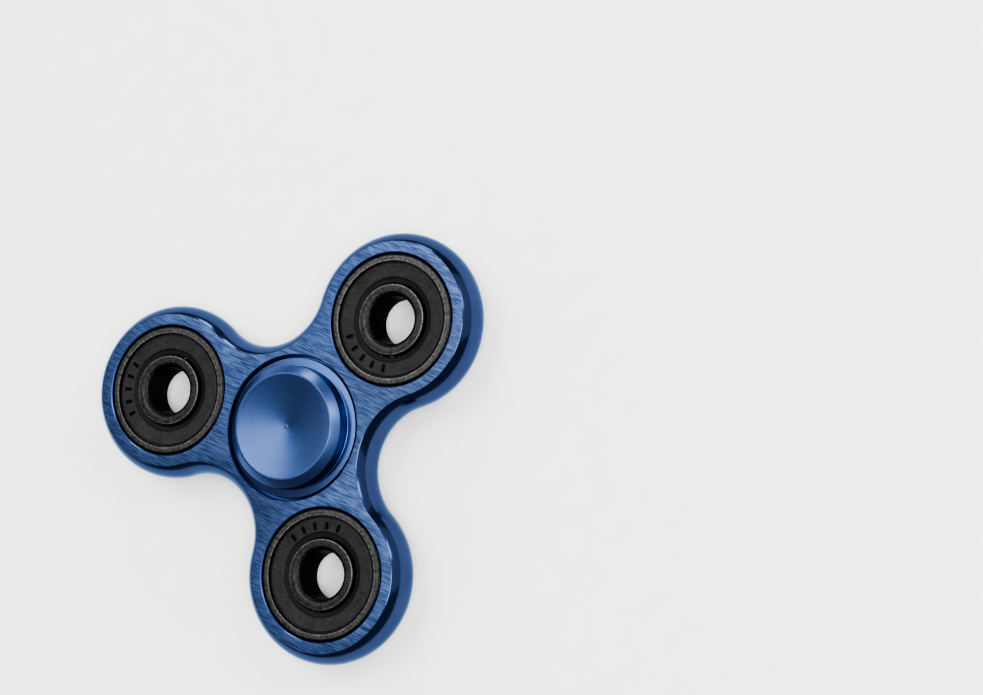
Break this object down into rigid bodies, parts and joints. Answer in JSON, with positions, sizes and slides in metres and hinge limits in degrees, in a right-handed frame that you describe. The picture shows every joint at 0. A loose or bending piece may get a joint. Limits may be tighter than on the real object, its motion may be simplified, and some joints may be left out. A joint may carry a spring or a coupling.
{
  "type": "fidget spinner",
  "caption": "Three-lobed finger spinner: an anodised metal body with a sealed ball bearing in each lobe turns freely between two dished, recessed finger caps.",
  "frame": {"origin": "on the spin axis, at the middle of the body's thickness, between the two finger caps", "axes": "+Z along the spin axis towards the upper cap; +X to the right, so one lobe points along -Y and the others lie at 30 and 150 degrees"},
  "size_m": [0.0728, 0.0669, 0.0132],
  "materials": {
    "anodised_body": "blue anodised, brushed faces and polished sides",
    "anodised_cap": "blue anodised, fine turned",
    "lobe_ring_steel": "dark, slightly worn bearing steel",
    "centre_ring_steel": "ground bearing steel",
    "ball_steel": "polished bearing balls",
    "seal_rubber": "matt black moulded rubber",
    "cage_nylon": "natural nylon"
  },
  "bodies": {
    "caps": {"upper_finger_cap": "anodised_cap", "lower_finger_cap": "anodised_cap", "centre_bearing_inner_ring": "centre_ring_steel"},
    "spinner": {"spinner_body": "anodised_body", "centre_bearing_outer_ring": "centre_ring_steel", "front_bearing_outer_ring": "lobe_ring_steel", "front_bearing_upper_seal": "seal_rubber", "front_bearing_lower_seal": "seal_rubber", "right_bearing_outer_ring": "lobe_ring_steel", "right_bearing_upper_seal": "seal_rubber", "right_bearing_lower_seal": "seal_rubber", "left_bearing_outer_ring": "lobe_ring_steel", "left_bearing_upper_seal": "seal_rubber", "left_bearing_lower_seal": "seal_rubber"},
    "centre_cage": {"centre_bearing_cage": "cage_nylon", "centre_bearing_ball_1": "ball_steel", "centre_bearing_ball_2": "ball_steel", "centre_bearing_ball_3": "ball_steel", "centre_bearing_ball_4": "ball_steel", "centre_bearing_ball_5": "ball_steel", "centre_bearing_ball_6": "ball_steel", "centre_bearing_ball_7": "ball_steel", "centre_bearing_ball_8": "ball_steel", "centre_bearing_ball_9": "ball_steel", "centre_bearing_ball_10": "ball_steel"},
    "front_inner_ring": {"front_bearing_inner_ring": "lobe_ring_steel"},
    "front_cage": {"front_bearing_cage": "cage_nylon", "front_bearing_ball_1": "ball_steel", "front_bearing_ball_2": "ball_steel", "front_bearing_ball_3": "ball_steel", "front_bearing_ball_4": "ball_steel", "front_bearing_ball_5": "ball_steel", "front_bearing_ball_6": "ball_steel", "front_bearing_ball_7": "ball_steel"},
    "right_inner_ring": {"right_bearing_inner_ring": "lobe_ring_steel"},
    "right_cage": {"right_bearing_cage": "cage_nylon", "right_bearing_ball_1": "ball_steel", "right_bearing_ball_2": "ball_steel", "right_bearing_ball_3": "ball_steel", "right_bearing_ball_4": "ball_steel", "right_bearing_ball_5": "ball_steel", "right_bearing_ball_6": "ball_steel", "right_bearing_ball_7": "ball_steel"},
    "left_inner_ring": {"left_bearing_inner_ring": "lobe_ring_steel"},
    "left_cage": {"left_bearing_cage": "cage_nylon", "left_bearing_ball_1": "ball_steel", "left_bearing_ball_2": "ball_steel", "left_bearing_ball_3": "ball_steel", "left_bearing_ball_4": "ball_steel", "left_bearing_ball_5": "ball_steel", "left_bearing_ball_6": "ball_steel", "left_bearing_ball_7": "ball_steel"}
  },
  "joints": [
    {"name": "spin", "type": "hinge", "parent": "caps", "child": "spinner", "pos_m": [0, 0, 0], "axis": [0, 0, 1], "continuous": true},
    {"name": "centre_cage_orbit", "type": "hinge", "parent": "caps", "child": "centre_cage", "pos_m": [0, 0, 0], "axis": [0, 0, 1], "continuous": true},
    {"name": "front_inner_ring_turn", "type": "hinge", "parent": "spinner", "child": "front_inner_ring", "pos_m": [0, -0.025, 0], "axis": [0, 0, 1], "continuous": true},
    {"name": "front_cage_orbit", "type": "hinge", "parent": "spinner", "child": "front_cage", "pos_m": [0, -0.025, 0], "axis": [0, 0, 1], "continuous": true},
    {"name": "right_inner_ring_turn", "type": "hinge", "parent": "spinner", "child": "right_inner_ring", "pos_m": [0.02165, 0.0125, 0], "axis": [0, 0, 1], "continuous": true},
    {"name": "right_cage_orbit", "type": "hinge", "parent": "spinner", "child": "right_cage", "pos_m": [0.02165, 0.0125, 0], "axis": [0, 0, 1], "continuous": true},
    {"name": "left_inner_ring_turn", "type": "hinge", "parent": "spinner", "child": "left_inner_ring", "pos_m": [-0.02165, 0.0125, 0], "axis": [0, 0, 1], "continuous": true},
    {"name": "left_cage_orbit", "type": "hinge", "parent": "spinner", "child": "left_cage", "pos_m": [-0.02165, 0.0125, 0], "axis": [0, 0, 1], "continuous": true}
  ],
  "couplings": [
    {"joint": "centre_cage_orbit", "follows": "spin", "ratio": 0.5834},
    {"joint": "front_cage_orbit", "follows": "front_inner_ring_turn", "ratio": 0.3677},
    {"joint": "right_cage_orbit", "follows": "right_inner_ring_turn", "ratio": 0.3677},
    {"joint": "left_cage_orbit", "follows": "left_inner_ring_turn", "ratio": 0.3677}
  ]
}
